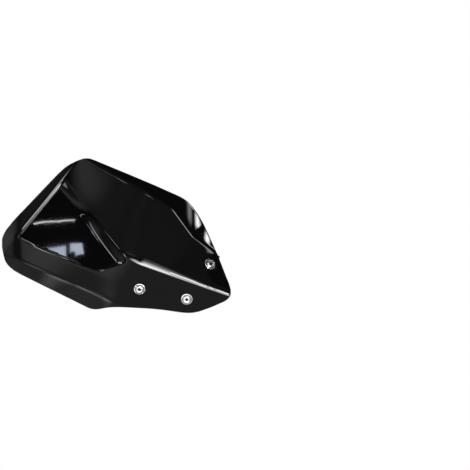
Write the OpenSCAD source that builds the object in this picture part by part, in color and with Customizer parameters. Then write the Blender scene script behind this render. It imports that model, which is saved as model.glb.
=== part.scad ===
// Left-hand motorcycle hand guard: a moulded shell on a pressed-steel bracket and a bar clamp.
// X runs inboard along the handlebar, Y runs back to the rider, Z is up. The origin is the bar's centre.

/* [Shell] */
// Millimetres to one unit of the shell's drawing grid
grid = 1.18; // [0.8:0.01:1.6]
// Wall thickness of the moulding
wall = 3; // [2:0.1:5]
// Slope of the lower face, which carries two of the screws
low_slope = 0.36; // [0.1:0.01:0.6]
// Slope of the outer half, back towards the guard's outer end
outer_slope = 0.16; // [0:0.01:0.4]
// Slope of the upper face above the ridge
up_slope = 0.22; // [0.1:0.01:0.5]
// Extra slope that the upper face gains towards its inboard end
up_gain = 0.6; // [0:0.05:1]
// Extra slope of the bevel along the top edge
top_bevel = 0.9; // [0.2:0.05:1.4]
// Extra slope of the bevel along the lower outer edge
low_bevel = 0.8; // [0.2:0.05:1.4]
// Extra slope of the rolled outer end
end_roll = 0.45; // [0:0.05:1]
// Extra slope of the band under the panel
band_slope = 0.35; // [0:0.05:0.8]
// Extra slope of the rim above the panel's outer edge
rim_slope = 0.4; // [0:0.05:0.8]
// Half width of the soft fold along the main ridge, in grid units
ridge_ease = 4.5; // [1:0.5:8]
// Radius of the flat seat round each screw, in grid units
seat_r = 7.5; // [5:0.5:10]
// Small lug on the inboard edge: diameter and height
lug = [4.4, 2.4];
// Distance of the lug from the shell's inboard end
lug_back = 13.8; // [11:0.5:25]

/* [Screws] */
// Thread diameter of the shell screws
screw_d = 6; // [4:1:8]
// Length of the shell screws under the head
screw_len = 25; // [20:1:40]
// Flange diameter of the button head
flange_d = 13.6; // [10:0.1:16]
// Flange thickness
flange_t = 1.1; // [0.6:0.1:2]
// Dome diameter of the button head
dome_d = 10; // [8:0.1:12]
// Height of the whole head
head_h = 3.3; // [2:0.1:5]
// Hexagon socket across flats
socket_af = 4; // [3:0.5:6]
// Gap round a screw in a plain hole, on the diameter
clear_d = 0.4; // [0.2:0.1:1]
// Gap left for the thread form in nuts and tapped holes, on the diameter
thread_gap = 0.1; // [0.05:0.05:0.3]

/* [Stack behind the shell] */
// Length of the spacers between shell and bracket
spacer_len = 10; // [8:1:20]
// Outer diameter of the spacers
spacer_d = 14; // [10:1:18]
// Thickness of the small washers
washer_t = 1.6; // [1:0.1:2]
// Outer diameter of the small washers
washer_d = 12; // [10:0.5:16]
// Locking nut: across flats and height
nut = [10, 6];

/* [Bracket] */
// Plate thickness
plate_t = 3; // [2:0.5:5]
// Radius of the eyes round the screw holes
eye_r = 10.5; // [9:0.5:14]
// Width of the ear that is bent to the upper screw
ear_w = 20; // [14:1:24]
// Outside radius of the bend
bend_r = 5.5; // [4:0.5:8]
// Width of the plate's legs
leg_w = 16; // [12:1:20]
// Reach of the pad round the clamp's bolt
pad_r = 14; // [11:1:18]
// Place of the clamp's bolt on the plate, from the lower inner screw
neck_at = [-20, 17];

/* [Bar clamp] */
// Handlebar diameter
bar_d = 22.2; // [22:0.1:32]
// Distance from the plate's back to the bar's centre
bar_gap = 46; // [40:1:60]
// Length of the clamp along the bar
clamp_len = 24; // [16:1:40]
// Wall of the clamp round the bar
clamp_wall = 5.5; // [4:0.5:8]
// Neck diameter
neck_d = 18; // [14:1:24]
// Gap between the clamp's two halves
split = 1; // [0.5:0.1:2]
// Distance from the clamp's round wall to its screws' centre lines
screw_off = 3.5; // [3:0.5:6]
// Clamp screw head: diameter, height, socket across flats
clamp_head = [10, 6, 5];
// Thickness of the clamp's ears
ear_t = 9; // [6:0.5:12]
// Clamp screw length under the head
clamp_screw_len = 20; // [12:1:30]
// Bolt that holds the bracket: diameter, length, head across flats, head height
stay_bolt = [8, 16, 13, 5.3];

/* [Hidden] */
$fn = 48;

// Shape of the shell: how far back the outer face lies at each point of its drawing grid.
// Grid x runs inboard and grid y runs down, both from the guard's outer top corner.
function ramp(x, a, b) = let(t = min(max((x - a)/(b - a), 0), 1)) t*t*(3 - 2*t);
function smax(a, b, r) = let(h = max(r - abs(a - b), 0)) max(a, b) + h*h/(4*max(r, 1e-6));
function smin(a, b, r) = -smax(-a, -b, r);
ridge_at = [131, 258];
ridge_turn = 19.5;
function along(x, y) = (x - ridge_at[0])*cos(ridge_turn) + (y - ridge_at[1])*sin(ridge_turn);
function above(x, y) = (x - ridge_at[0])*sin(ridge_turn) - (y - ridge_at[1])*cos(ridge_turn);
inner_slope = low_slope*tan(ridge_turn);
function crown(k) = smax(-outer_slope*k, inner_slope*k, 14*(outer_slope + inner_slope));
function upper(k) = 0.08 + (up_slope - 0.08)*ramp(k, -100, -20) + up_gain*pow(max(k, 0)/80, 2);
function lower(k) = 0.08 - (0.08 + low_slope)*ramp(k, -100, 10);
function body(x, y) = let(k = along(x, y), e = above(x, y), u = upper(k), l = lower(k))
  crown(k) + smax(l*e, u*e, ridge_ease*max(u - l, 0.001));
// Distances past the creases: top bevel, inboard bevel and lower outer bevel
function past_top(x, y) = (x - 93)*0.493 - (y - 163)*0.870;
function past_inboard(x, y) = min((x - 175)*0.788 - (y - 213.5)*0.616,
  (x - 193)*0.560 - (y - 236.5)*0.829);
function past_low(x, y) = (y - 260)*0.915 - (x - 19)*0.404;
// Distances past the panel's lower edge and past the rim above its outer edge
function past_band(x, y) = (y - 239)*0.918 - (x - 17)*0.396;
function past_rim(x, y) = -1.5 - (x - 17)*0.774 - (y - 236)*0.633;
function base(x, y) = body(x, y)
  + top_bevel*smax(smax(past_top(x, y), past_inboard(x, y), 3), 0, 2)
  + low_bevel*smax(past_low(x, y), 0, 2.5)
  + band_slope*smax(past_band(x, y), 0, 2)*(1 - ramp(along(x, y), -45, 5))
  + rim_slope*smax(past_rim(x, y), 0, 2)
  + end_roll*smax(17 - x, 0, 6);
// Width of the panel's crisp edge, which softens towards its deep inboard corner
panel_edge = 2.2;
function corner(x) = ramp(x, 104, 128);
// Recessed panel: 1 inside it, 0 outside, with three crisp edges and a soft one on its inboard side
function in_panel(x, y) = let(
    d1 = (x - 17)*0.774 + (y - 236)*0.633,
    d2 = (y - 181)*0.609 - (x - 64)*0.793,
    d3 = (x - 17)*0.396 - (y - 239)*0.918,
    d4 = -(x - 96.4)*0.330 - (y - 273.2)*0.944)
  ramp(smin(d1, smin(d3, d4, 4), 5), -corner(x), panel_edge + 3*corner(x))*ramp(d2, -3, 8);
function panel(x, y) = 29.7 - 0.0342*x - 0.061*y;
function pressed(x, y) = let(m = in_panel(x, y)) base(x, y)*(1 - m) + panel(x, y)*m;
// Screw places, and the flat seat that each one has
screws = [[139.5, 288.9], [186.8, 299.0], [209.9, 264.4]];
function base_dx(p, h) = (base(p[0] + h, p[1]) - base(p[0] - h, p[1]))/(2*h);
function base_dy(p, h) = (base(p[0], p[1] + h) - base(p[0], p[1] - h))/(2*h);
seats = [for (p = screws) [p[0], p[1], base(p[0], p[1]), base_dx(p, 4), base_dy(p, 4)]];
function on_seat(s, x, y) = 1 - ramp(norm([x - s[0], y - s[1]]), seat_r, seat_r + 4.5);
function seat_depth(s, x, y) = s[2] + s[3]*(x - s[0]) + s[4]*(y - s[1]);
function blend(w, x, y, i) = i == len(seats) ? w :
  let(m = on_seat(seats[i], x, y)) blend(w*(1 - m) + seat_depth(seats[i], x, y)*m, x, y, i + 1);
function depth(x, y) = blend(pressed(x, y), x, y, 0);
// Direction into the wall, square to the general run of the face
function soft_dir(x, y) = let(g = [base_dx([x, y], 4), base_dy([x, y], 4)]) [-g[0], 1, g[1]];
function dir_in(x, y) = let(m = [for (s = seats) on_seat(s, x, y)],
    v = soft_dir(x, y)*(1 - max(m)) + m*[for (s = seats) [-s[3], 1, s[4]]])
  v/norm(v);

// Outline of the shell on the grid: its upper and lower edge at each x
top_edge = [[13.5, 219.8], [32.2, 200], [51.3, 180], [59.5, 171.4], [67, 165.3], [76.5, 160.5],
  [86.5, 157.3], [92, 158.6], [98, 161.1], [130, 174.3], [153, 184], [182, 196.8], [190, 202.4],
  [197.5, 212.5], [203.9, 223.5], [211.5, 240], [218.3, 255.2], [227.4, 278.6]];
low_edge = [[13.5, 271.1], [20, 274.8], [88, 308.7], [92.5, 310.2], [98, 309.9], [106, 308.2],
  [114, 307.6], [124, 307.7], [148, 308.8], [162, 310.1], [184, 313.2], [191, 313.4],
  [198, 312.3], [211, 307.7], [223.5, 302.2]];
// Both edges close on the rounded ends, where they are looked up by the root of the distance
left_x = 1.2;
right_x = 231.1;
left_up = [[0, 240.5], [0.7, 237.4], [1.34, 234.3], [2.02, 230], [2.79, 225.4], [3.507, 219.8]];
left_low = [[0, 243.5], [0.5, 247.4], [0.8, 250.2], [1.7, 260.6], [2.3, 264.8], [2.9, 268],
  [3.507, 271.1]];
right_up = [[0, 290.8], [0.7, 287.8], [1.5, 282], [1.924, 278.6]];
right_low = [[0, 292.6], [0.6, 295], [1.7, 299], [2.757, 302.2]];
left_to = 13.5;
right_from = [227.4, 223.5];
function edge_up(x) = x < left_to ? lookup(sqrt(max(x - left_x, 0)), left_up)
  : x > right_from[0] ? lookup(sqrt(max(right_x - x, 0)), right_up) : lookup(x, top_edge);
function edge_low(x) = x < left_to ? lookup(sqrt(max(x - left_x, 0)), left_low)
  : x > right_from[1] ? lookup(sqrt(max(right_x - x, 0)), right_low) : lookup(x, low_edge);
// Corners eased by averaging over a short run
function ease(x) = 3*ramp(x, 12, 22)*(1 - ramp(x, 196, 206));
function eased_up(x) = let(e = ease(x)) (edge_up(x - e) + edge_up(x) + edge_up(x + e))/3;
function eased_low(x) = let(e = ease(x)) (edge_low(x - e) + edge_low(x) + edge_low(x + e))/3;

// Lines that the shell's rows follow: top crease, panel's upper and lower edges, lower crease
crease_up = [[60, 172], [93, 163], [175, 211], [193, 236.5], [213, 250], [222, 268], [231, 290]];
panel_up = [[0, 236], [17, 236], [62, 181], [65, 181], [122, 255.5], [134, 257.5], [229.6, 291]];
panel_low = [[0, 239], [17, 239.5], [96.4, 273.2], [116, 266.5], [130, 264.5], [229.6, 296]];
crease_low = [[0, 250], [19, 260], [105, 298], [125, 303.5], [200, 306], [229, 298]];
row_lines = [crease_up, panel_up, panel_low, crease_low];
row_steps = [4, 6, 6, 5, 4];
function line_y(i, x) = let(a = eased_up(x), b = eased_low(x), s = min(2, (b - a)*0.08))
  i == 0 ? a : i == 5 ? b : min(max(lookup(x, row_lines[i - 1]), a + i*s), b - (5 - i)*s);
rows = [for (i = [0:4], j = [0:row_steps[i] - 1]) let(t = j/row_steps[i])
  [i, t - 0.75*sin(360*t)/(2*PI)], [5, 0]];
function row_y(r, x) = r[0] == 5 ? line_y(5, x)
  : line_y(r[0], x)*(1 - r[1]) + line_y(r[0] + 1, x)*r[1];
columns = [1.25, 1.5, 2.1, 3.1, 4.6, 6.6, 9, 11.6, for (x = [14.2:2.9:204]) x,
  for (x = [205.5:1.7:223]) x, 224.4, 226, 227.4, 228.6, 229.6, 230.3, 230.75, 231.05];
nr = len(rows);
nc = len(columns);

// Points on the drawing grid turned into millimetres, with the bar's centre as origin
lean = atan(low_slope*cos(ridge_turn) + inner_slope*sin(ridge_turn));
function raw(x, y, w) = grid*[x, w, -y];
function seat_point(i) = raw(seats[i][0], seats[i][1], seats[i][2]);
function seat_out(i) = let(v = [seats[i][3], -1, -seats[i][4]]) v/norm(v);
low_out = [0, -cos(lean), -sin(lean)];
low_up = [0, -sin(lean), cos(lean)];
plate_front = -wall - spacer_len;
plate_back = plate_front - plate_t;
bar_depth = plate_back - bar_gap;
bar_at = seat_point(1) + [neck_at[0], 0, 0] + neck_at[1]*low_up + bar_depth*low_out;
function outer(x, y) = raw(x, y, depth(x, y)) - bar_at;

// Frames: on a screw's seat with Z pointing out of the shell, and on the lower face's plane
module on_seat_frame(i) {
  n = seat_out(i);
  translate(seat_point(i) - bar_at) rotate([0, acos(n[2]), atan2(n[1], n[0])]) children();
}
module on_plate(at = [0, 0]) {
  translate(seat_point(1) - bar_at) rotate([90 + lean, 0, 0]) translate([at[0], at[1], 0])
    children();
}
module on_neck() on_plate(neck_at) children();

module shell_skin() {
  out = [for (x = columns, r = rows) outer(x, row_y(r, x))];
  back = [for (i = [0:nc - 1], j = [0:nr - 1]) let(x = columns[i], y = row_y(rows[j], x))
    out[i*nr + j] + wall*dir_in(x, y)];
  n = nc*nr;
  ring = [for (i = [0:nc - 1]) i*nr, for (j = [1:nr - 1]) (nc - 1)*nr + j,
    for (i = [nc - 2:-1:0]) i*nr + nr - 1, for (j = [nr - 2:-1:1]) j];
  quads = [for (i = [0:nc - 2], j = [0:nr - 2]) let(a = i*nr + j) [a, a + nr, a + nr + 1, a + 1]];
  polyhedron(concat(out, back), concat(
    [for (q = quads) [q[0], q[1], q[2]]], [for (q = quads) [q[0], q[2], q[3]]],
    [for (q = quads) [q[2] + n, q[1] + n, q[0] + n]], [for (q = quads) [q[3] + n, q[2] + n, q[0] + n]],
    [for (k = [0:len(ring) - 1]) let(a = ring[k], b = ring[(k + 1) % len(ring)]) [b, a, a + n]],
    [for (k = [0:len(ring) - 1]) let(a = ring[k], b = ring[(k + 1) % len(ring)]) [b, a + n, b + n]]));
}

lug_x = right_x - lug_back/grid;
lug_at = [lug_x, edge_up(lug_x) - 1.5];
module guard_shell() color([0.05, 0.05, 0.055])
  difference() {
    union() {
      shell_skin();
      translate(outer(lug_at[0] - 1, lug_at[1]) + 0.3*dir_in(lug_at[0], lug_at[1]))
        let(n = -dir_in(lug_at[0] - 4, lug_at[1] + 2))
          rotate([0, acos(n[2]), atan2(n[1], n[0])])
            translate([0, 0, -lug[1]]) cylinder(d = lug[0], h = lug[1]);
    }
    for (i = [0:2]) on_seat_frame(i)
      translate([0, 0, -wall - 4]) cylinder(d = screw_d + clear_d, h = wall + 8);
  }

// Flanged button-head screw: the head stands on the seat, the shank runs back through the stack
module shell_screw() color([0.75, 0.76, 0.78])
  difference() {
    union() {
      cylinder(d = flange_d, h = flange_t);
      rotate_extrude() polygon([[0, flange_t - 0.2], [dome_d/2, flange_t - 0.2],
        [dome_d/2, flange_t], for (a = [10:10:60]) [dome_d/2*cos(a*0.9),
        flange_t + (head_h - flange_t)*sin(a*1.5)], [0, head_h]]);
      translate([0, 0, -screw_len]) cylinder(d = screw_d, h = screw_len + flange_t/2);
    }
    translate([0, 0, head_h - 2]) cylinder(d = socket_af/cos(30), h = 3, $fn = 6);
  }

module spacer() color([0.08, 0.08, 0.08])
  translate([0, 0, plate_front]) difference() {
    cylinder(d = spacer_d, h = spacer_len);
    translate([0, 0, -1]) cylinder(d = screw_d + clear_d, h = spacer_len + 2);
  }

module small_washer() color([0.72, 0.73, 0.75])
  translate([0, 0, plate_back - washer_t]) difference() {
    cylinder(d = washer_d, h = washer_t);
    translate([0, 0, -1]) cylinder(d = screw_d + clear_d, h = washer_t + 2);
  }

// Locking nut: a hexagon with a round collar that holds the nylon ring
module lock_nut() color([0.7, 0.71, 0.73])
  translate([0, 0, plate_back - washer_t - nut[1]]) difference() {
    union() {
      translate([0, 0, 1.6]) cylinder(d = nut[0]/cos(30), h = nut[1] - 1.6, $fn = 6);
      cylinder(d = nut[0] - 0.8, h = 2);
    }
    translate([0, 0, -1]) cylinder(d = screw_d + thread_gap, h = nut[1] + 2);
  }

// Bracket: a flat plate behind the lower face, and an ear bent square to the upper screw
ear_out = seat_out(2);
bend_dir = let(v = cross(low_out, ear_out)) v/norm(v);
bend_turn = acos(low_out*ear_out);
run_in = let(v = cross(bend_dir, low_out)) v/norm(v);
plate_zero = seat_point(1) - bar_at + plate_front*low_out;
ear_zero = seat_point(2) - bar_at + plate_front*ear_out;
to_bend = ((ear_zero - plate_zero)*ear_out)/(run_in*ear_out);
bend_at = plate_zero + to_bend*run_in;
ear_shift = (ear_zero - bend_at)*bend_dir;
ear_reach = norm(ear_zero - bend_at - ear_shift*bend_dir);
tangent = bend_r*tan(bend_turn/2);
module bracket() color([0.12, 0.12, 0.13])
  difference() {
    union() {
      on_plate() translate([0, 0, plate_back]) bracket_plate();
      multmatrix([for (i = [0:2]) [run_in[i], bend_dir[i], low_out[i], bend_at[i]]])
        translate([0, ear_shift + ear_w/2, 0]) rotate([90, 0, 0]) linear_extrude(ear_w)
          polygon(bent_strip());
      on_seat_frame(2) translate([0, 0, plate_back]) cylinder(r = eye_r, h = plate_t);
    }
    for (i = [0, 1]) on_seat_frame(i) screw_hole();
    on_seat_frame(2) screw_hole();
    on_neck() translate([0, 0, plate_back - 1])
      cylinder(d = stay_bolt[0] + clear_d, h = plate_t + 2);
  }
module screw_hole() translate([0, 0, plate_back - 1])
  cylinder(d = screw_d + clear_d, h = plate_t + 2);
// The bent strip's side view: flat, bend, then the ear as far as its hole
function bent_strip() = let(
    c = [-tangent, -bend_r], d = [cos(bend_turn), -sin(bend_turn)], q = [-d[1], d[0]],
    turn = [for (k = [0:8]) 90 - bend_turn*k/8], r = bend_r - plate_t)
  concat([[-tangent - 6, 0]], [for (a = turn) c + bend_r*[cos(a), sin(a)]], [ear_reach*d],
    [ear_reach*d - plate_t*[sin(bend_turn), cos(bend_turn)]],
    [for (k = [8:-1:0]) c + r*[cos(turn[k]), sin(turn[k])]], [[-tangent - 6, -plate_t]]);
function flat(p) = [p[0], p*low_up];
outer_eye = flat(seat_point(0) - seat_point(1));
module bracket_plate() {
  b = flat(bend_dir);
  r = flat(run_in);
  edge = to_bend*r - (tangent + 1)*r;
  linear_extrude(plate_t) polygon([outer_eye + leg_w*[0, -0.5], [1.5*neck_at[0], 0],
    leg_w*[0, -0.5], leg_w*[0.5, -0.2], edge + (ear_shift - ear_w/2)*b,
    edge + (ear_shift + ear_w/2)*b, neck_at + pad_r*[0.65, 1], neck_at + pad_r*[-0.85, 0.85],
    outer_eye + leg_w*[0.9, 0.5], outer_eye + leg_w*[0, 0.5]]);
  cylinder(r = eye_r, h = plate_t);
  translate([outer_eye[0], outer_eye[1], 0]) cylinder(r = eye_r, h = plate_t);
}

module stay_washer() color([0.72, 0.73, 0.75])
  on_neck() translate([0, 0, plate_front]) difference() {
    cylinder(d = 2*stay_bolt[0], h = washer_t);
    translate([0, 0, -1]) cylinder(d = stay_bolt[0] + clear_d, h = washer_t + 2);
  }
module stay_bolt() color([0.72, 0.73, 0.75])
  on_neck() translate([0, 0, plate_front + washer_t]) {
    cylinder(d = stay_bolt[2]/cos(30), h = stay_bolt[3], $fn = 6);
    translate([0, 0, -stay_bolt[1]]) cylinder(d = stay_bolt[0], h = stay_bolt[1] + 1);
  }

// One half of the ring round the bar, with an ear above and below; side is +1 for the body
module clamp_half(side) {
  difference() {
    union() {
      intersection() {
        rotate([0, 90, 0]) cylinder(d = bar_d + 2*clamp_wall, h = clamp_len, center = true);
        translate([-clamp_len, -bar_d, side > 0 ? split/2 : -bar_d - split/2])
          cube([2*clamp_len, 2*bar_d, bar_d]);
      }
      translate([-clamp_len/2, -clamp_pitch - clamp_edge, side > 0 ? split/2 : -ear_t - split/2])
        cube([clamp_len, 2*(clamp_pitch + clamp_edge), ear_t]);
    }
    rotate([0, 90, 0]) cylinder(d = bar_d, h = clamp_len + 2, center = true);
    for (y = [-clamp_pitch, clamp_pitch]) translate([0, y, -bar_d])
      cylinder(d = screw_d + (side > 0 ? thread_gap : clear_d), h = 2*bar_d);
  }
}
module clamp_body() color([0.6, 0.61, 0.62])
  on_neck() difference() {
    union() {
      translate([0, 0, bar_depth]) clamp_half(1);
      translate([0, 0, bar_depth + bar_d/2 + 2]) cylinder(d = neck_d, h = bar_gap - bar_d/2 - 2);
    }
    translate([0, 0, plate_back - stay_bolt[1] + 3]) cylinder(d = stay_bolt[0] + thread_gap,
      h = stay_bolt[1]);
  }
module clamp_cap() color([0.6, 0.61, 0.62]) on_neck() translate([0, 0, bar_depth]) clamp_half(-1);

clamp_pitch = bar_d/2 + clamp_wall + screw_off;
clamp_edge = clamp_head[0]/2 + 2;
clamp_back = bar_depth - split/2 - ear_t;
module clamp_washer(y) color([0.72, 0.73, 0.75])
  on_neck() translate([0, y, clamp_back - washer_t]) difference() {
    cylinder(d = screw_d*1.9, h = washer_t);
    translate([0, 0, -1]) cylinder(d = screw_d + clear_d, h = washer_t + 2);
  }
module clamp_screw(y) color([0.25, 0.25, 0.26])
  on_neck() translate([0, y, clamp_back - washer_t]) difference() {
    union() {
      translate([0, 0, -clamp_head[1]]) cylinder(d = clamp_head[0], h = clamp_head[1]);
      cylinder(d = screw_d, h = clamp_screw_len);
    }
    translate([0, 0, -clamp_head[1] - 1]) cylinder(d = clamp_head[2]/cos(30),
      h = clamp_head[1]/2 + 1, $fn = 6);
  }

guard_shell();
on_seat_frame(0) shell_screw();  // screw_lower_outer
on_seat_frame(1) shell_screw();  // screw_lower_inner
on_seat_frame(2) shell_screw();  // screw_upper
on_seat_frame(0) spacer();  // spacer_lower_outer
on_seat_frame(1) spacer();  // spacer_lower_inner
on_seat_frame(2) spacer();  // spacer_upper
bracket();
on_seat_frame(0) small_washer();  // washer_lower_outer
on_seat_frame(1) small_washer();  // washer_lower_inner
on_seat_frame(2) small_washer();  // washer_upper
on_seat_frame(0) lock_nut();  // nut_lower_outer
on_seat_frame(1) lock_nut();  // nut_lower_inner
on_seat_frame(2) lock_nut();  // nut_upper
stay_bolt();
stay_washer();
clamp_body();
clamp_cap();
clamp_screw(clamp_pitch);  // clamp_screw_upper
clamp_screw(-clamp_pitch);  // clamp_screw_lower
clamp_washer(clamp_pitch);  // clamp_washer_upper
clamp_washer(-clamp_pitch);  // clamp_washer_lower
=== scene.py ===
import math
import bmesh
import bpy
from mathutils import Matrix, Vector


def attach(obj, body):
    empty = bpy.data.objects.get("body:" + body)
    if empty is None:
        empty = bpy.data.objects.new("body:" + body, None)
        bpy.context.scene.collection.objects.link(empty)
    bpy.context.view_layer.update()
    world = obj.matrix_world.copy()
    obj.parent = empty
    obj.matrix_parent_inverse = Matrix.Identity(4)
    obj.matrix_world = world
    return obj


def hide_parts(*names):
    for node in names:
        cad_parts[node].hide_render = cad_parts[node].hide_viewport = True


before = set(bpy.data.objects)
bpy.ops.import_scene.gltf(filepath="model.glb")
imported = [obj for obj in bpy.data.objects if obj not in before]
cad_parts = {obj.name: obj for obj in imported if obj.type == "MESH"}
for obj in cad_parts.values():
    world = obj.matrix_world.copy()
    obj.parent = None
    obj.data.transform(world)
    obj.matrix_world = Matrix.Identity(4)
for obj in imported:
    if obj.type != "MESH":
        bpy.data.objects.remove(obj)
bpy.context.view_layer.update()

# View and world
# The guard hangs free in front of a white ground, seen square from the front and from far off.
# One unit of its drawing grid is 1.18 mm. The view's middle lies to the right of this left guard.
MM = 0.001
GRID = 1.18 * MM
BAR_ON_GRID = Vector((169.851, 59.601, 266.794))
VIEW_MIDDLE, VIEW_WIDTH, CAMERA_AWAY, PLAIN_LIGHT = (235, 235, 16), 470, 12.0, 0.55


def on_grid(x, y, w):
    """A point of the drawing grid, w units behind the front, in the part's own frame."""
    return Vector((x - BAR_ON_GRID.x, w - BAR_ON_GRID.y, BAR_ON_GRID.z - y)) * GRID


aim = on_grid(*VIEW_MIDDLE)
lens = bpy.data.cameras.new("photo_camera")
camera = bpy.data.objects.new("photo_camera", lens)
bpy.context.scene.collection.objects.link(camera)
camera.location = aim + Vector((0, -CAMERA_AWAY, 0))
camera.rotation_euler = (math.pi / 2, 0, 0)
lens.sensor_width = 36
lens.lens = lens.sensor_width * CAMERA_AWAY / (VIEW_WIDTH * GRID)
lens.clip_end = 50
bpy.context.scene.camera = camera
bpy.context.scene.view_settings.view_transform = "Standard"


class Wire:
    """A socket of a material that adds its own Math nodes when it is used in a sum."""

    def __init__(self, bench, socket):
        self.bench, self.socket = bench, socket

    def maths(self, operation, *values):
        return self.bench.node("ShaderNodeMath", {"operation": operation}, dict(enumerate(values)))

    def __add__(self, other):
        return self.maths("ADD", self, other)

    def __mul__(self, other):
        return self.maths("MULTIPLY", self, other)

    __radd__ = __add__
    __rmul__ = __mul__


class Bench:
    """The nodes of one material or of the world."""

    def __init__(self, owner):
        owner.use_nodes = True
        self.owner, self.tree = owner, owner.node_tree
        self.tree.nodes.clear()

    def node(self, kind, settings=None, sockets=None, out=0):
        made = self.tree.nodes.new(kind)
        for name, value in (settings or {}).items():
            if name == "stops":
                ramp = made.color_ramp
                while len(ramp.elements) < len(value):
                    ramp.elements.new(0.5)
                for stop, (place, colour) in zip(ramp.elements, value):
                    stop.position, stop.color = place, (*colour, 1)
            else:
                setattr(made, name, value)
        for name, value in (sockets or {}).items():
            if isinstance(value, Wire):
                self.tree.links.new(value.socket, made.inputs[name])
            else:
                made.inputs[name].default_value = value
        return Wire(self, made.outputs[out]) if made.outputs else made


world = bpy.data.worlds.new("white_ground")
bpy.context.scene.world = world
sky = Bench(world)


def shown_white(bench):
    """1 for the rays that show the ground itself, 0 for those that carry its light and shadow."""
    seen = [bench.node("ShaderNodeLightPath", out=name)
            for name in ("Is Camera Ray", "Is Glossy Ray", "Is Transmission Ray")]
    return bench.node("ShaderNodeMath", {"operation": "ADD", "use_clamp": True},
                      {0: seen[0] + seen[1], 1: seen[2]})


sky.node("ShaderNodeOutputWorld", {}, {"Surface": sky.node("ShaderNodeBackground", {}, {
    "Color": (1, 1, 1, 1), "Strength": PLAIN_LIGHT + (1 - PLAIN_LIGHT) * shown_white(sky)})})

# Guard shell
# One moulding in gloss black plastic, 3 mm thick: a flat recessed panel on the outer half, a soft
# main ridge, a lower face with two of the screws, and bevels along the top and the lower edge.
WALL = 3.0 * MM
EDGE_R, STEEP = 0.9 * MM, 4
LOW_SLOPE, OUTER_SLOPE, UP_SLOPE, UP_GAIN, TIP_SLOPE = 0.36, 0.16, 0.22, 0.6, 0.08
TOP_BEVEL, LOW_BEVEL, END_ROLL, CROWN_EASE = 0.9, 0.8, 0.45, 14
RIDGE_EASE, BAND_SLOPE, RIM_SLOPE, RIM_BACK, END_X = 4.5, 0.35, 0.4, 1.5, 17
SEAT_R, SEAT_EASE = 7.5, 4.5
PANEL_AT, PANEL_X, PANEL_Y, PANEL_STEP = 29.7, 0.0342, 0.061, 2.2
TURN, APEX_X, APEX_Y = math.radians(19.5), 131, 258
INNER_SLOPE = LOW_SLOPE * math.tan(TURN)
# Straight lines on the grid: a point of the line, then the direction in which its side grows
TOP_LINE, LOW_LINE = (93, 163, 0.493, -0.870), (19, 260, -0.404, 0.915)
INBOARD_UP, INBOARD_DOWN = (175, 213.5, 0.788, -0.616), (193, 236.5, 0.560, -0.829)
BAND_LINE, RIM_LINE = (17, 239, -0.396, 0.918), (17, 236, -0.774, -0.633)
PANEL_RIM, PANEL_TOP = (17, 236, 0.774, 0.633), (64, 181, -0.793, 0.609)
PANEL_BAND, PANEL_RIDGE = (17, 239, 0.396, -0.918), (96.4, 273.2, -0.330, -0.944)


def ramp(x, a, b):
    """Eased step from 0 at a to 1 at b."""
    t = min(max((x - a) / (b - a), 0), 1)
    return t * t * (3 - 2 * t)


def smax(a, b, r):
    """The larger of two values, rounded where they cross."""
    h = max(r - abs(a - b), 0)
    return max(a, b) + h * h / (4 * max(r, 1e-6))


def smin(a, b, r):
    """The smaller of two values, rounded where they cross."""
    return -smax(-a, -b, r)


def past(line, x, y):
    """How far a point lies beyond a line of the grid."""
    return (x - line[0]) * line[2] + (y - line[1]) * line[3]


def base(x, y):
    """The bent sheet: main fold, crown, bevels, band and rim, each past its own line on the grid."""
    k = (x - APEX_X) * math.cos(TURN) + (y - APEX_Y) * math.sin(TURN)
    e = (x - APEX_X) * math.sin(TURN) - (y - APEX_Y) * math.cos(TURN)
    upper = (TIP_SLOPE + (UP_SLOPE - TIP_SLOPE) * ramp(k, -100, -20)
             + UP_GAIN * (max(k, 0) / 80) ** 2)
    lower = TIP_SLOPE - (TIP_SLOPE + LOW_SLOPE) * ramp(k, -100, 10)
    crown = smax(-OUTER_SLOPE * k, INNER_SLOPE * k, CROWN_EASE * (OUTER_SLOPE + INNER_SLOPE))
    body = crown + smax(lower * e, upper * e, RIDGE_EASE * max(upper - lower, 0.001))
    past_inboard = min(past(INBOARD_UP, x, y), past(INBOARD_DOWN, x, y))
    return (body + TOP_BEVEL * smax(smax(past(TOP_LINE, x, y), past_inboard, 3), 0, 2)
            + LOW_BEVEL * smax(past(LOW_LINE, x, y), 0, 2.5)
            + BAND_SLOPE * smax(past(BAND_LINE, x, y), 0, 2) * (1 - ramp(k, -45, 5))
            + RIM_SLOPE * smax(past(RIM_LINE, x, y) - RIM_BACK, 0, 2)
            + END_ROLL * smax(END_X - x, 0, 6))


def base_slope(x, y, h=4):
    """The bent sheet's slopes at a point, taken over a short run each way."""
    return ((base(x + h, y) - base(x - h, y)) / (2 * h),
            (base(x, y + h) - base(x, y - h)) / (2 * h))


SCREWS = ((139.5, 288.9), (186.8, 299.0), (209.9, 264.4))
SEATS = [(x, y, base(x, y), *base_slope(x, y)) for x, y in SCREWS]


def on_seat(seat, x, y):
    """How much a point belongs to a screw's flat seat, from 1 on it to 0 beyond its eased rim."""
    return 1 - ramp(math.hypot(x - seat[0], y - seat[1]), SEAT_R, SEAT_R + SEAT_EASE)


def depth(x, y):
    """How far back the outer face lies: the bent sheet, its pressed-in panel and the screw seats."""
    soft = ramp(x, 104, 128)
    inside = smin(past(PANEL_RIM, x, y), smin(past(PANEL_BAND, x, y), past(PANEL_RIDGE, x, y), 4), 5)
    pressed = ramp(inside, -soft, PANEL_STEP + 3 * soft) * ramp(past(PANEL_TOP, x, y), -3, 8)
    w = base(x, y) * (1 - pressed) + (PANEL_AT - PANEL_X * x - PANEL_Y * y) * pressed
    for seat in SEATS:
        flat = on_seat(seat, x, y)
        w = w * (1 - flat) + (seat[2] + seat[3] * (x - seat[0]) + seat[4] * (y - seat[1])) * flat
    return w


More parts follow.
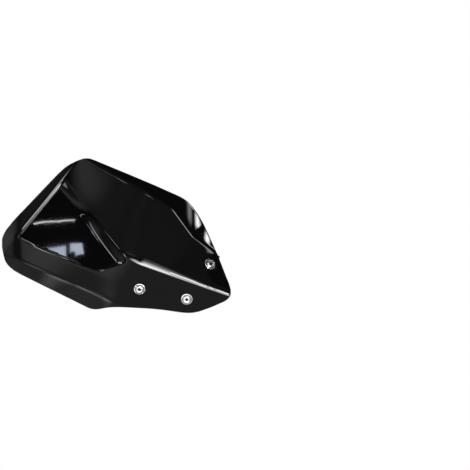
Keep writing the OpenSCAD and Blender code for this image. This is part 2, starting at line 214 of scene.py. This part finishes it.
def into_wall(x, y):
    """The direction through the wall, square to the general run of the face."""
    flats = [on_seat(seat, x, y) for seat in SEATS]
    gx, gy = base_slope(x, y)
    way = Vector((-gx, 1, gy)) * (1 - max(flats))
    for flat, seat in zip(flats, SEATS):
        way += flat * Vector((-seat[3], 1, seat[4]))
    return way.normalized()


def read(table, x):
    """Straight-line reading of a table of places, as a drawing's dimension line is read."""
    if x <= table[0][0]:
        return table[0][1]
    for (xa, ya), (xb, yb) in zip(table, table[1:]):
        if x <= xb:
            return ya + (yb - ya) * (x - xa) / (xb - xa)
    return table[-1][1]


TOP_EDGE = ((13.5, 219.8), (32.2, 200), (51.3, 180), (59.5, 171.4), (67, 165.3), (76.5, 160.5),
            (86.5, 157.3), (92, 158.6), (98, 161.1), (130, 174.3), (153, 184), (182, 196.8),
            (190, 202.4), (197.5, 212.5), (203.9, 223.5), (211.5, 240), (218.3, 255.2),
            (227.4, 278.6))
LOW_EDGE = ((13.5, 271.1), (20, 274.8), (88, 308.7), (92.5, 310.2), (98, 309.9), (106, 308.2),
            (114, 307.6), (124, 307.7), (148, 308.8), (162, 310.1), (184, 313.2), (191, 313.4),
            (198, 312.3), (211, 307.7), (223.5, 302.2))
LEFT_UP = ((0, 240.5), (0.7, 237.4), (1.34, 234.3), (2.02, 230), (2.79, 225.4), (3.507, 219.8))
LEFT_LOW = ((0, 243.5), (0.5, 247.4), (0.8, 250.2), (1.7, 260.6), (2.3, 264.8), (2.9, 268),
            (3.507, 271.1))
RIGHT_UP = ((0, 290.8), (0.7, 287.8), (1.5, 282), (1.924, 278.6))
RIGHT_LOW = ((0, 292.6), (0.6, 295), (1.7, 299), (2.757, 302.2))
LEFT_X, RIGHT_X, LEFT_TO, UP_FROM, LOW_FROM = 1.2, 231.1, 13.5, 227.4, 223.5


def edge(x, whole, left, left_to, right, right_from):
    """An edge's place at x. Near the rounded ends it is read by the root of the distance."""
    if x < left_to:
        return read(left, math.sqrt(max(x - LEFT_X, 0)))
    if x > right_from:
        return read(right, math.sqrt(max(RIGHT_X - x, 0)))
    return read(whole, x)


def eased(x, *tables):
    """The edge with its corners eased by averaging over a short run."""
    e = 3 * ramp(x, 12, 22) * (1 - ramp(x, 196, 206))
    return sum(edge(x + step, *tables) for step in (-e, 0, e)) / 3


def edge_up(x):
    """The outline's upper edge at x."""
    return eased(x, TOP_EDGE, LEFT_UP, LEFT_TO, RIGHT_UP, UP_FROM)


def edge_low(x):
    """The outline's lower edge at x."""
    return eased(x, LOW_EDGE, LEFT_LOW, LEFT_TO, RIGHT_LOW, LOW_FROM)


# The mesh's lines follow the creases and crowd towards them, so that each fold is a clean line
CREASES = (((60, 172), (93, 163), (175, 211), (193, 236.5), (213, 250), (222, 268), (231, 290)),
           ((0, 236), (17, 236), (62, 181), (65, 181), (122, 255.5), (134, 257.5), (229.6, 291)),
           ((0, 239), (17, 239.5), (96.4, 273.2), (116, 266.5), (130, 264.5), (229.6, 296)),
           ((0, 250), (19, 260), (105, 298), (125, 303.5), (200, 306), (229, 298)))
BAND_ROWS, CROWDING = (14, 30, 36, 22, 18), 0.75
COLUMNS = ([1.25, 1.5, 2.1, 3.1, 4.6, 6.6, 9, 11.6] + [14.2 + 2.9 * i for i in range(66)]
           + [205.5 + 1.7 * i for i in range(11)]
           + [224.4, 226, 227.4, 228.6, 229.6, 230.3, 230.75, 231.05])


def crease_y(i, x):
    """Where the mesh's crease line i lies at x, kept in order between the two edges."""
    low, high = edge_up(x), edge_low(x)
    step = min(2, (high - low) * 0.08)
    if i == 0:
        return low
    if i == 5:
        return high
    return min(max(read(CREASES[i - 1], x), low + i * step), high - (5 - i) * step)


def sheet_point(u, v):
    """Where a point of the square sheet goes on the drawing grid."""
    place = u * (len(COLUMNS) - 1)
    i = min(int(place), len(COLUMNS) - 2)
    x = COLUMNS[i] + (COLUMNS[i + 1] - COLUMNS[i]) * (place - i)
    row = v * sum(BAND_ROWS)
    for band, rows in enumerate(BAND_ROWS):
        if row <= rows or band == 4:
            break
        row -= rows
    t = min(row / rows, 1)
    t -= CROWDING * math.sin(2 * math.pi * t) / (2 * math.pi)
    return x, crease_y(band, x) * (1 - t) + crease_y(band + 1, x) * t


def from_edge(x, y):
    """Distance in from the outline, measured square to it."""
    up = low = STEEP
    if LEFT_X + 1 < x < RIGHT_X - 1:
        up = edge_up(x + 0.5) - edge_up(x - 0.5)
        low = edge_low(x + 0.5) - edge_low(x - 0.5)
    return max(min((y - edge_up(x)) / math.hypot(1, up), (edge_low(x) - y) / math.hypot(1, low),
                   x - COLUMNS[0], COLUMNS[-1] - x), 0) * GRID


bm = bmesh.new()
bmesh.ops.create_grid(bm, x_segments=3 * (len(COLUMNS) - 1), y_segments=sum(BAND_ROWS), size=1)
for vert in bm.verts:
    vert.co = (*sheet_point((vert.co.x + 1) / 2, (1 - vert.co.y) / 2), 0)
back = bmesh.ops.duplicate(bm, geom=bm.verts[:] + bm.edges[:] + bm.faces[:])["geom"]
for part in back:
    if isinstance(part, bmesh.types.BMVert):
        part.co.z = 1
rims = [e for e in bm.edges if e.is_boundary]
bmesh.ops.bridge_loops(bm, edges=rims)
for vert in bm.verts:
    x, y, inner = vert.co
    way = into_wall(x, y)
    gap = EDGE_R - min(from_edge(x, y), EDGE_R)
    drop = EDGE_R - math.sqrt(EDGE_R ** 2 - gap ** 2)
    vert.co = on_grid(x, y, depth(x, y)) + way * (WALL - drop if inner > 0.5 else drop)
bmesh.ops.recalc_face_normals(bm, faces=bm.faces)
if bm.calc_volume(signed=True) < 0:
    bmesh.ops.reverse_faces(bm, faces=bm.faces)
for face in bm.faces:
    face.smooth = True
shell_mesh = bpy.data.meshes.new("shell_moulding")
bm.to_mesh(shell_mesh)
bm.free()
shell = bpy.data.objects.new("shell_moulding", shell_mesh)
bpy.context.scene.collection.objects.link(shell)

bench = Bench(bpy.data.materials.new("gloss_black_moulding"))
place = bench.node("ShaderNodeTexCoord", out="Object")
sway = bench.node("ShaderNodeTexNoise", {}, {"Vector": place, "Scale": 24.0, "Detail": 1.0})
grain = bench.node("ShaderNodeTexNoise", {}, {"Vector": place, "Scale": 900.0, "Detail": 2.0})
haze = bench.node("ShaderNodeTexNoise", {}, {"Vector": place, "Scale": 14.0, "Detail": 4.0})
waviness = bench.node("ShaderNodeBump", {}, {"Height": sway, "Distance": 0.004, "Strength": 0.02})
finish_bump = bench.node("ShaderNodeBump", {}, {"Height": grain, "Distance": 0.00002,
                                                "Strength": 0.02, "Normal": waviness})
bench.node("ShaderNodeOutputMaterial", {}, {"Surface": bench.node("ShaderNodeBsdfPrincipled", {}, {
    "Base Color": (0.0018, 0.0018, 0.002, 1), "Roughness": 0.015 + 0.02 * haze, "IOR": 1.42,
    "Normal": finish_bump})})
shell_mesh.materials.append(bench.owner)
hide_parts("guard_shell")
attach(shell, "root")

# Edge lug
# A small round nib of the same moulding on the inboard edge, level with the upper screw, where
# the moulding was held in its tool.
LUG_R, LUG_HIGH, LUG_SUNK, LUG_EASE = 2.2 * MM, 2.4 * MM, 0.3 * MM, 0.5 * MM
LUG_FOOT, LUG_TURN_AT, LUG_SINK_AT = (218.4, 256.6), (215.4, 258.6), (219.4, 256.6)
bm = bmesh.new()
bmesh.ops.create_cone(bm, cap_ends=True, segments=32, radius1=LUG_R, radius2=LUG_R, depth=LUG_HIGH)
bmesh.ops.bevel(bm, geom=[e for e in bm.edges if abs(e.verts[0].co.z - e.verts[1].co.z) < 1e-9],
                offset=LUG_EASE, segments=3, profile=0.5, affect="EDGES", material=-1)
lug_way = -into_wall(*LUG_TURN_AT)
lug_turn = lug_way.to_track_quat("Z", "Y").to_matrix().to_4x4()
lug_at = on_grid(*LUG_FOOT, depth(*LUG_FOOT)) + LUG_SUNK * into_wall(*LUG_SINK_AT)
bmesh.ops.transform(bm, matrix=Matrix.Translation(lug_at) @ lug_turn
                    @ Matrix.Translation((0, 0, -LUG_HIGH / 2)), verts=bm.verts)
for face in bm.faces:
    face.smooth = True
lug_mesh = bpy.data.meshes.new("edge_lug")
bm.to_mesh(lug_mesh)
bm.free()
lug = bpy.data.objects.new("edge_lug", lug_mesh)
bpy.context.scene.collection.objects.link(lug)
lug_mesh.materials.append(bench.owner)
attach(lug, "root")

# Shell screws
# Three M6 button-head screws in stainless steel, with a rolled flange and a hexagon socket. They
# pass through the shell and its spacer, and a locking nut draws them up behind the bracket.
# Their profiles are in millimetres, with the flange's underside at height 0.
FLANGE_R, FLANGE_T, DOME_R, HEAD_H, SHANK_R, SHANK = 6.8, 1.1, 5.0, 3.3, 3.0, 25.0
SOCKET_FLATS, SOCKET_DEEP, SOCKET_LIP = 4, 2.0, 0.25
SOCKET_R = SOCKET_FLATS / math.cos(math.pi / 6) / 2
GROOVE_WIDE, GROOVE_DEEP = 0.7, 0.4
THREAD_FROM, THREAD_DEEP, PITCH, TURNS, ROUND_STEPS = 19.0, 0.45, 1.0, 6, 60


def seat_frame(seat):
    """Stands a screw on its seat, with its head out of the shell's face."""
    out = Vector((seat[3], -1, -seat[4])).normalized()
    turn = out.to_track_quat("Z", "Y").to_matrix().to_4x4()
    return Matrix.Translation(on_grid(seat[0], seat[1], seat[2])) @ turn


bench = Bench(bpy.data.materials.new("bright_stainless"))
place = bench.node("ShaderNodeTexCoord", out="Object")
fine = bench.node("ShaderNodeTexNoise", {}, {"Vector": place, "Scale": 1600.0, "Detail": 3.0})
cloud = bench.node("ShaderNodeTexNoise", {}, {"Vector": place, "Scale": 260.0, "Detail": 2.0})
tint = bench.node("ShaderNodeValToRGB", {"stops": ((0.25, (0.74, 0.74, 0.75)),
                                                  (0.75, (0.9, 0.9, 0.9)))}, {"Fac": cloud})
turning = bench.node("ShaderNodeBump", {}, {"Height": fine, "Distance": 0.00002, "Strength": 0.3})
bench.node("ShaderNodeOutputMaterial", {}, {"Surface": bench.node("ShaderNodeBsdfPrincipled", {}, {
    "Base Color": tint, "Metallic": 1.0, "Roughness": 0.26 + 0.14 * fine, "Normal": turning})})
stainless = bench.owner
# Painted shade: a near-black finish put on the flange's groove and the hexagon socket, standing in
# for the shade in these hollows.
bench = Bench(bpy.data.materials.new("painted_shade_in_hollows"))
place = bench.node("ShaderNodeTexCoord", out="Object")
hollow_roughness = bench.node("ShaderNodeTexNoise", {}, {"Vector": place, "Scale": 900.0, "Detail": 2.0})
bench.node("ShaderNodeOutputMaterial", {}, {"Surface": bench.node("ShaderNodeBsdfPrincipled", {}, {
    "Base Color": (0.02, 0.02, 0.02, 1), "Metallic": 0.3, "Roughness": 0.45 + 0.2 * hollow_roughness})})
recess = bench.owner

head_line = [(FLANGE_R - 0.5, 0.0), (FLANGE_R - 0.12, 0.12), (FLANGE_R, 0.5),
             (FLANGE_R - 0.2, FLANGE_T - 0.15), (FLANGE_R - 0.6, FLANGE_T),
             (DOME_R + GROOVE_WIDE + 0.05, FLANGE_T),
             (DOME_R + GROOVE_WIDE - 0.1, FLANGE_T - GROOVE_DEEP),
             (DOME_R + 0.05, FLANGE_T - GROOVE_DEEP)]
head_line += [(SOCKET_R + 0.55 + (DOME_R - SOCKET_R - 0.55) * math.cos(a * math.pi / 20),
               FLANGE_T + 0.3 + (HEAD_H - FLANGE_T - 0.3) * math.sin(a * math.pi / 20))
              for a in range(11)]
shank_line = [(FLANGE_R - 0.5, 0.0), (SHANK_R + 0.3, 0.0), (SHANK_R, -0.4), (SHANK_R, -THREAD_FROM)]
for turn_no in range(TURNS):
    thread = THREAD_FROM + turn_no * PITCH
    shank_line += [(SHANK_R, -thread - 0.2), (SHANK_R - THREAD_DEEP, -thread - 0.6),
                   (SHANK_R - THREAD_DEEP, -thread - 0.75)]
shank_line = [p for p in shank_line if p[1] > -SHANK + 0.5]
shank_line += [(SHANK_R - 0.2, -SHANK + 0.5), (SHANK_R - 0.8, -SHANK), (0.0, -SHANK)]
for name, seat in zip(("screw_lower_outer", "screw_lower_inner", "screw_upper"), SEATS):
    bm = bmesh.new()
    for line in (head_line, shank_line):
        turned = [bm.verts.new((r, 0, z)) for r, z in line]
        ribs = [bm.edges.new(pair) for pair in zip(turned, turned[1:])]
        bmesh.ops.spin(bm, geom=turned + ribs, cent=(0, 0, 0), axis=(0, 0, 1), dvec=(0, 0, 0),
                       angle=2 * math.pi, steps=ROUND_STEPS, use_merge=True)
    bmesh.ops.remove_doubles(bm, verts=bm.verts, dist=1e-4)
    crown = [e for e in bm.edges if e.is_boundary]
    socket = bmesh.ops.create_circle(bm, segments=6, radius=SOCKET_R)["verts"]
    bmesh.ops.translate(bm, vec=(0, 0, HEAD_H - SOCKET_LIP), verts=socket)
    hexagon = [e for e in bm.edges if e.verts[0] in socket and e.verts[1] in socket]
    bmesh.ops.bridge_loops(bm, edges=crown + hexagon)
    walls = bmesh.ops.extrude_edge_only(bm, edges=hexagon)["geom"]
    floor = [v for v in walls if isinstance(v, bmesh.types.BMVert)]
    bmesh.ops.translate(bm, vec=(0, 0, -SOCKET_DEEP), verts=floor)
    bmesh.ops.contextual_create(bm, geom=[e for e in walls if isinstance(e, bmesh.types.BMEdge)
                                          and e.is_boundary])
    bmesh.ops.recalc_face_normals(bm, faces=bm.faces)
    for face in bm.faces:
        face.smooth = abs(face.normal.z) < 0.999 and len(face.verts) == 4
        middle = face.calc_center_median()
        reach = math.hypot(middle.x, middle.y)
        # Faces in the groove and on the socket's walls and floor take the second finish, the painted
        # shade.
        in_groove = DOME_R < reach < DOME_R + GROOVE_WIDE and 0.5 < middle.z < FLANGE_T - 0.1
        face.material_index = int(in_groove or (reach < SOCKET_R and 0.5 < middle.z < HEAD_H - 0.3))
    bmesh.ops.scale(bm, vec=(MM, MM, MM), verts=bm.verts)
    bmesh.ops.transform(bm, matrix=seat_frame(seat), verts=bm.verts)
    mesh = bpy.data.meshes.new(name + "_turned")
    bm.to_mesh(mesh)
    bm.free()
    mesh.materials.append(stainless)
    mesh.materials.append(recess)
    piece = bpy.data.objects.new(name + "_turned", mesh)
    bpy.context.scene.collection.objects.link(piece)
    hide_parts(name)
    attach(piece, "root")

# Spacers
# Black nylon tubes, cut to length and lightly chamfered, one on each shell screw. They carry the
# shell clear of the bracket and of the bolt behind it.


def ease_edges(node, width):
    """Joins a piece's loose triangles and rounds its sharp edges, as tumbling or plating does."""
    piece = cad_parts[node]
    weld = piece.modifiers.new("joined", "WELD")
    weld.merge_threshold = 1e-6
    round_off = piece.modifiers.new("eased", "BEVEL")
    round_off.width, round_off.segments, round_off.limit_method = width, 2, "ANGLE"
    round_off.angle_limit, round_off.use_clamp_overlap = math.radians(35), False


def refinish(node, material):
    """Gives a piece its finish in place of the plain one."""
    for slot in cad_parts[node].material_slots:
        slot.material = material


def plain_finish(name, colours, rough, grain_scale, grain_depth, metal=0.0, strength=0.3):
    """A solid finish whose tone and gloss drift a little over the piece, with its own fine grain."""
    bench = Bench(bpy.data.materials.new(name))
    place = bench.node("ShaderNodeTexCoord", out="Object")
    drift = bench.node("ShaderNodeTexNoise", {}, {"Vector": place, "Scale": 120.0, "Detail": 3.0})
    grain = bench.node("ShaderNodeTexNoise", {}, {"Vector": place, "Scale": grain_scale,
                                                  "Detail": 3.0})
    tone = bench.node("ShaderNodeValToRGB", {"stops": ((0.3, colours[0]), (0.7, colours[1]))},
                      {"Fac": drift})
    bump = bench.node("ShaderNodeBump", {}, {"Height": grain, "Distance": grain_depth,
                                             "Strength": strength})
    coat = bench.node("ShaderNodeBsdfPrincipled", {}, {
        "Base Color": tone, "Metallic": metal, "Roughness": rough + 0.12 * drift, "Normal": bump})
    bench.node("ShaderNodeOutputMaterial", {}, {"Surface": coat})
    return bench.owner


nylon = plain_finish("black_nylon", ((0.016, 0.016, 0.016), (0.024, 0.024, 0.024)), 0.42, 700.0,
                     0.00004)
for node in ("spacer_lower_outer", "spacer_lower_inner", "spacer_upper"):
    refinish(node, nylon)
    ease_edges(node, 0.35 * MM)

# Bracket
# Pressed from 3 mm steel plate, with one ear bent square to the upper screw, and powder coated
# satin black after pressing.
powder = plain_finish("black_powder_coat", ((0.012, 0.012, 0.012), (0.02, 0.02, 0.021)), 0.36,
                      1400.0, 0.00008, strength=0.5)
refinish("bracket", powder)
ease_edges("bracket", 0.4 * MM)

# Washers, locking nuts and plate bolt
# Zinc-plated steel: plain washers and locking nuts on the shell screws, and a hexagon bolt with
# its own washer that holds the bracket to the clamp's neck.
zinc = plain_finish("zinc_plate", ((0.42, 0.43, 0.45), (0.58, 0.59, 0.6)), 0.26, 1100.0, 0.00003,
                    metal=1.0)
for node in ("washer_lower_outer", "washer_lower_inner", "washer_upper", "stay_washer",
             "clamp_washer_upper", "clamp_washer_lower"):
    refinish(node, zinc)
    ease_edges(node, 0.2 * MM)
for node in ("nut_lower_outer", "nut_lower_inner", "nut_upper", "stay_bolt"):
    refinish(node, zinc)
    ease_edges(node, 0.35 * MM)

# Bar clamp
# Two halves cast in alloy, bored for the handlebar and anodised black. The neck on the front half
# is tapped for the bracket's bolt, and two black socket screws close the halves on the bar.
cast = plain_finish("black_anodised_casting", ((0.022, 0.022, 0.023), (0.036, 0.036, 0.038)), 0.34,
                    900.0, 0.00006, metal=0.55, strength=0.4)
oxide = plain_finish("black_oxide", ((0.02, 0.02, 0.022), (0.05, 0.05, 0.052)), 0.3, 1300.0,
                     0.00003, metal=0.8)
for node in ("clamp_body", "clamp_cap"):
    refinish(node, cast)
    ease_edges(node, 0.6 * MM)
for node in ("clamp_screw_upper", "clamp_screw_lower"):
    refinish(node, oxide)
    ease_edges(node, 0.3 * MM)

# Ground and lamps
# A white floor well below the guard keeps its soft shadow. Three soft lamps light the pieces, and
# none of them shows in the gloss.
FLOOR_SIZE, FLOOR_Z, FLOOR_WHITE = 6, -0.42, 0.8
bm = bmesh.new()
bmesh.ops.create_grid(bm, x_segments=1, y_segments=1, size=FLOOR_SIZE)
bmesh.ops.translate(bm, vec=(0, 0, FLOOR_Z), verts=bm.verts)
floor_mesh = bpy.data.meshes.new("floor")
bm.to_mesh(floor_mesh)
bm.free()
bench = Bench(bpy.data.materials.new("white_floor"))
diffuse = bench.node("ShaderNodeBsdfDiffuse", {}, {"Color": (*[FLOOR_WHITE] * 3, 1)})
lifted = PLAIN_LIGHT * shown_white(bench)
shine = bench.node("ShaderNodeEmission", {}, {"Color": (1, 1, 1, 1), "Strength": lifted})
bench.node("ShaderNodeOutputMaterial", {}, {"Surface": bench.node(
    "ShaderNodeAddShader", {}, {0: diffuse, 1: shine})})
floor_mesh.materials.append(bench.owner)
ground = bpy.data.objects.new("floor", floor_mesh)
bpy.context.scene.collection.objects.link(ground)

LAMPS = (("key_lamp", (-1.2, -1.6, 1.8), 1.2, 26), ("fill_lamp", (1.6, -1.4, 0.8), 1.0, 10),
         ("back_lamp", (0.6, 1.8, 1.4), 1.2, 14))
for name, spot, size, power in LAMPS:
    light = bpy.data.lights.new(name, "AREA")
    light.size, light.energy = size, power
    lamp = bpy.data.objects.new(name, light)
    bpy.context.scene.collection.objects.link(lamp)
    lamp.location = spot
    lamp.rotation_euler = (aim - Vector(spot)).to_track_quat("-Z", "Y").to_euler()
    lamp.visible_glossy = False

# Studio tent
# Plain cloth round the guard, seen only in the gloss of its pieces: dim in front and pale behind,
# with a few soft lit places where the shell's folds mirror them. Each place in the list is its
# turn from the front, its height, its half widths, all in degrees, its softness and brightness.
TENT_R, TENT_FLOOR, TENT_DIM, TENT_ROUND = 1.6, 0.38, 0.11, 440
tent_centre = on_grid(120, 235, 20)
LIT = ((180, 10, 60, 90, 0.5, 0.75), (0, -90, 999, 57, 0.12, 0.37), (112, 48, 34, 34, 0.25, 0.02),
       (30, 19, 34, 9, 0.6, 0.17), (-9, 13, 8, 12, 0.3, 0.02), (-3, 28, 8, 6, 0.8, 0.2),
       (2, 16, 6, 5.5, 0.8, 0.7), (-27, -23, 14, 17, 0.7, 1.0), (-90, 2, 20, 26, 0.5, 0.75),
       (-55, 35, 12, 7, 0.5, 0.2), (-68, -50, 11, 6, 0.8, 1.8), (-91, -63, 14, 4, 0.8, 2.9),
       (-97, 42, 24, 4.5, 0.5, 16.0), (-26, 21, 5, 4.5, 0.6, 16.0), (-19, -8, 5, 6, 0.5, 14.0),
       (12, 40, 5, 4, 0.5, 6.0), (14, 30, 2, 2, 0.6, 5.0), (87, 26, 5, 4, 0.6, 9.0),
       (120.2, 23.4, 0.9, 1.3, 0.5, 15.0), (125.2, 31.6, 1.0, 1.2, 0.7, 15.0),
       (116.4, 24, 0.9, 0.9, 0.7, 3.0), (-1, -19, 5, 8, 0.8, 14.0), (6, -28, 6.5, 6, 0.8, 32.0),
       (11, -22, 4, 6, 1.0, 28.0), (15, -12, 3.5, 6, 1.0, 16.0), (19, -3, 3, 5, 1.0, 6.0),
       (24, 7, 3.5, 5, 1.0, 3.0))


def tent_light(way):
    """How bright the cloth is in one direction from its centre."""
    turn = math.degrees(math.atan2(way.x, -way.y))
    height = math.degrees(math.asin(way.z))
    value = TENT_DIM
    for side, up, wide, high, soft, bright in LIT:
        if abs(height - up) > high * (1 + soft):
            continue
        away_by = math.hypot(((turn - side + 180) % 360 - 180) / wide, (height - up) / high)
        share = 1 - ramp(away_by, 1 - soft, 1 + soft)
        value += (bright - value) * share
    return value


bm = bmesh.new()
bmesh.ops.create_uvsphere(bm, u_segments=TENT_ROUND, v_segments=TENT_ROUND // 2, radius=1)
ways = [vert.co.normalized() for vert in bm.verts]
for vert, way in zip(bm.verts, ways):
    reach = min(TENT_R, TENT_FLOOR / max(-way.z, 1e-6))
    vert.co = tent_centre + way * reach
tent_mesh = bpy.data.meshes.new("tent")
bm.to_mesh(tent_mesh)
bm.free()
lit = tent_mesh.color_attributes.new("lit", "FLOAT_COLOR", "POINT")
for sample, way in zip(lit.data, ways):
    sample.color = (*[tent_light(way)] * 3, 1)
bench = Bench(bpy.data.materials.new("tent_cloth"))
bench.node("ShaderNodeOutputMaterial", {}, {"Surface": bench.node(
    "ShaderNodeEmission", {}, {"Color": bench.node("ShaderNodeAttribute", {"attribute_name": "lit"}),
                               "Strength": 1.0})})
bench.owner.cycles.emission_sampling = "NONE"
tent_mesh.materials.append(bench.owner)
tent = bpy.data.objects.new("tent", tent_mesh)
bpy.context.scene.collection.objects.link(tent)
tent.visible_camera = tent.visible_shadow = tent.visible_diffuse = False
tent.visible_transmission = False

# Window and tubes
# The room's window, a tube over the bench and a tube along the main ridge, as small shining cards
# that stand where the gloss mirrors them at given points of the drawing grid.


def glow(name, colour, strength):
    """A plain shining or black finish for a card."""
    bench = Bench(bpy.data.materials.new(name))
    bench.node("ShaderNodeOutputMaterial", {}, {"Surface": bench.node(
        "ShaderNodeEmission", {}, {"Color": (*colour, 1), "Strength": strength})})
    return bench.owner


def mirrored(x, y, far, on_panel):
    """The place that the gloss of the panel, or of the face outside it, shows at a grid point."""
    w, slope_x, slope_y = PANEL_AT - PANEL_X * x - PANEL_Y * y, -PANEL_X, -PANEL_Y
    if not on_panel:
        w, slope_x = depth(x, y), depth(x + 0.5, y) - depth(x - 0.5, y)
        slope_y = depth(x, y + 0.5) - depth(x, y - 0.5)
    out = Vector((slope_x, -1, -slope_y)).normalized()
    spot = on_grid(x, y, w)
    look = (spot - camera.location).normalized()
    return spot + far * (look - 2 * look.dot(out) * out)


def mirrored_card(name, corners, far, finish, on_panel=True):
    """A flat card with its corners where the gloss shows them at the given grid points."""
    bm = bmesh.new()
    corner_verts = [bm.verts.new(mirrored(x, y, far, on_panel)) for x, y in corners]
    bmesh.ops.contextual_create(bm, geom=corner_verts)
    bmesh.ops.triangulate(bm, faces=bm.faces)
    mesh = bpy.data.meshes.new(name)
    bm.to_mesh(mesh)
    bm.free()
    mesh.materials.append(finish)
    piece = bpy.data.objects.new(name, mesh)
    bpy.context.scene.collection.objects.link(piece)
    piece.visible_camera = piece.visible_shadow = piece.visible_diffuse = False
    piece.visible_transmission = False


def mirrored_tube(name, points, wide, far, finish, on_panel=True):
    """A narrow lit tube, as cards end to end, shown along a line of grid points."""
    for i, ((xa, ya), (xb, yb)) in enumerate(zip(points, points[1:])):
        mirrored_card(f"{name}_{i}", ((xa, ya - wide / 2), (xb, yb - wide / 2), (xb, yb + wide / 2),
                                      (xa, ya + wide / 2)), far, finish, on_panel)


WINDOW_AWAY, KNOB_AWAY, BENCH_AWAY, RIDGE_AWAY = 0.9, 0.88, 0.7, 0.46
day = glow("window_light", (0.72, 0.82, 1.0), 17)
tube = glow("tube_light", (1, 1, 1), 28)
mirrored_card("window_left", ((48, 247.4), (66.5, 246.4), (67.5, 256), (60, 255), (53, 251.8)),
              WINDOW_AWAY, day)
mirrored_card("window_right", ((70, 245), (82, 244), (83, 254.4), (70.6, 255.6)), WINDOW_AWAY, day)
KNOB_X, KNOB_Y, KNOB_R = 72, 254.6, 3.2
mirrored_card("window_knob", [(KNOB_X + KNOB_R * math.cos(a * math.pi / 6),
                               KNOB_Y + KNOB_R * math.sin(a * math.pi / 6)) for a in range(12)],
              KNOB_AWAY, glow("window_frame", (0, 0, 0), 0))
BENCH_LINE = ((34, 221.6), (46, 222.4), (58, 222.7), (66, 221.4), (74.5, 220.7))
mirrored_tube("bench_tube", BENCH_LINE, 1.1, BENCH_AWAY, tube)
RIDGE_LINE = ((170, 272.6), (179, 276.1), (188, 279.3), (194, 281.6), (200, 284.4), (206, 286.4),
              (212, 288.4), (218, 290.4), (224, 292.6), (228.5, 294.2))
mirrored_tube("ridge_tube", RIDGE_LINE, 1.5, RIDGE_AWAY, glow("ridge_tube_light", (1, 1, 1), 26),
              False)
mirrored_tube("ridge_tube_under", [(x, y + 1.2) for x, y in RIDGE_LINE], 1.2, RIDGE_AWAY,
              glow("ridge_tube_under_light", (1, 1, 1), 13), False)
